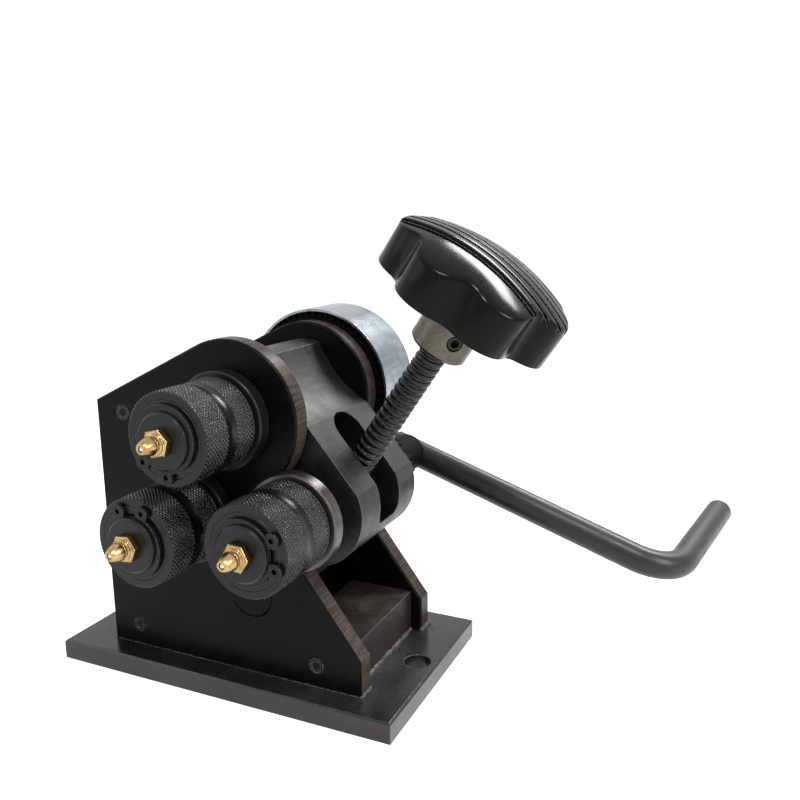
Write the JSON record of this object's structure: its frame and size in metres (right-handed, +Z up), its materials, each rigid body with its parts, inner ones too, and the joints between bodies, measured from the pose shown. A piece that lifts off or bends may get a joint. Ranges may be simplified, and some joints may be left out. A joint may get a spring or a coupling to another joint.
{
  "type": "hand cranked ring roller",
  "caption": "Bench ring roller that bends bar and strip between knurled rollers, driven by a side crank and set by a lobed hand knob on a leaning screw.",
  "frame": {"origin": "middle of the base plate's underside, midway between the two bench screw holes", "axes": "+X along the base towards the crank's grip, +Y from the rollers at the front towards the crank at the back, +Z up"},
  "size_m": [0.2474, 0.226, 0.1802],
  "materials": {
    "painted_base": "semi-gloss dark grey",
    "dark_plate": "satin black over sawn steel",
    "weld_metal": "rippled",
    "bright_steel": "turned bright",
    "black_steel": "blackened",
    "roller_steel": "blackened, knurled",
    "brass": "turned",
    "ball_steel": "polished",
    "bronze": "plain",
    "zinc_sheet": "zinc plated",
    "forged_arm": "worn bright",
    "gear_steel": "machined",
    "crank_steel": "satin dark",
    "black_plastic": "moulded gloss"
  },
  "bodies": {
    "frame": {"base_plate": "painted_base", "front_plate": "dark_plate", "rear_plate": "dark_plate", "lower_spacer_block": "dark_plate", "left_spacer_block": "dark_plate", "upper_tie_bar": "dark_plate", "dowel_pins": "dark_plate", "weld_beads": "weld_metal", "left_shaft": "bright_steel", "left_thrust_collar": "black_steel", "left_circlip": "black_steel", "left_grease_nipple": "brass", "left_nipple_ball": "ball_steel", "upper_front_bush": "bronze", "upper_rear_bush": "bronze", "gear_guard": "zinc_sheet", "guard_screws": "zinc_sheet"},
    "left_roller_unit": {"left_roller": "roller_steel", "left_roller_bush": "bronze"},
    "swing_arm_unit": {"swing_arm": "forged_arm", "arm_bushes": "bronze"},
    "drive": {"upper_shaft": "bright_steel", "upper_roller": "roller_steel", "shaft_keys": "bright_steel", "upper_thrust_collar": "black_steel", "upper_circlip": "black_steel", "upper_grease_nipple": "brass", "upper_nipple_ball": "ball_steel", "drive_gear": "gear_steel", "gear_circlip": "black_steel"},
    "right_shaft_unit": {"right_shaft": "bright_steel", "right_thrust_collar": "bright_steel", "right_circlip": "black_steel", "right_grease_nipple": "brass", "right_nipple_ball": "ball_steel"},
    "right_roller_unit": {"right_roller": "roller_steel", "right_roller_bush": "bronze"},
    "crank": {"crank_pinion": "gear_steel", "hub_set_screw": "black_steel", "crank_handle": "crank_steel", "crank_weld": "weld_metal"},
    "trunnion": {"trunnion_bar": "bright_steel"},
    "adjuster": {"adjusting_screw": "black_steel", "screw_washer": "bright_steel", "screw_circlip": "black_steel", "adjusting_knob": "black_plastic", "knob_collar": "bright_steel", "knob_set_screw": "black_steel"}
  },
  "joints": [
    {"name": "trunnion_turn", "type": "hinge", "parent": "frame", "child": "trunnion", "pos_m": [0.0122, 0, 0.0404], "axis": [0, -1, 0], "range_deg": [-3.36, 5.04]},
    {"name": "knob_turn", "type": "hinge", "parent": "trunnion", "child": "adjuster", "pos_m": [0.0122, 0, 0.0404], "axis": [-0.5608, 0, -0.828], "range_deg": [-1055.9, 703.9]},
    {"name": "arm_swing", "type": "hinge", "parent": "frame", "child": "swing_arm_unit", "pos_m": [0.0059, 0, 0.1082], "axis": [0, -1, 0], "range_deg": [-12.06, 8.04]},
    {"name": "nut_turn", "type": "hinge", "parent": "swing_arm_unit", "child": "right_shaft_unit", "pos_m": [0.0347, 0, 0.07363], "axis": [0, -1, 0], "range_deg": [-11.39, 17.09]},
    {"name": "crank_turn", "type": "hinge", "parent": "swing_arm_unit", "child": "crank", "pos_m": [0.0347, 0, 0.07363], "axis": [0, -1, 0], "continuous": true},
    {"name": "drive_turn", "type": "hinge", "parent": "swing_arm_unit", "child": "drive", "pos_m": [0.0059, 0, 0.1082], "axis": [0, -1, 0], "continuous": true},
    {"name": "right_roller_turn", "type": "hinge", "parent": "swing_arm_unit", "child": "right_roller_unit", "pos_m": [0.0347, 0, 0.07363], "axis": [0, -1, 0], "continuous": true},
    {"name": "left_roller_turn", "type": "hinge", "parent": "frame", "child": "left_roller_unit", "pos_m": [-0.011, 0, 0.0694], "axis": [0, -1, 0], "continuous": true}
  ],
  "couplings": [
    {"joint": "arm_swing", "follows": "knob_turn", "ratio": 0.011365},
    {"joint": "trunnion_turn", "follows": "knob_turn", "ratio": -0.0047423},
    {"joint": "nut_turn", "follows": "knob_turn", "ratio": -0.016107},
    {"joint": "drive_turn", "follows": "crank_turn", "ratio": -0.45161}
  ]
}
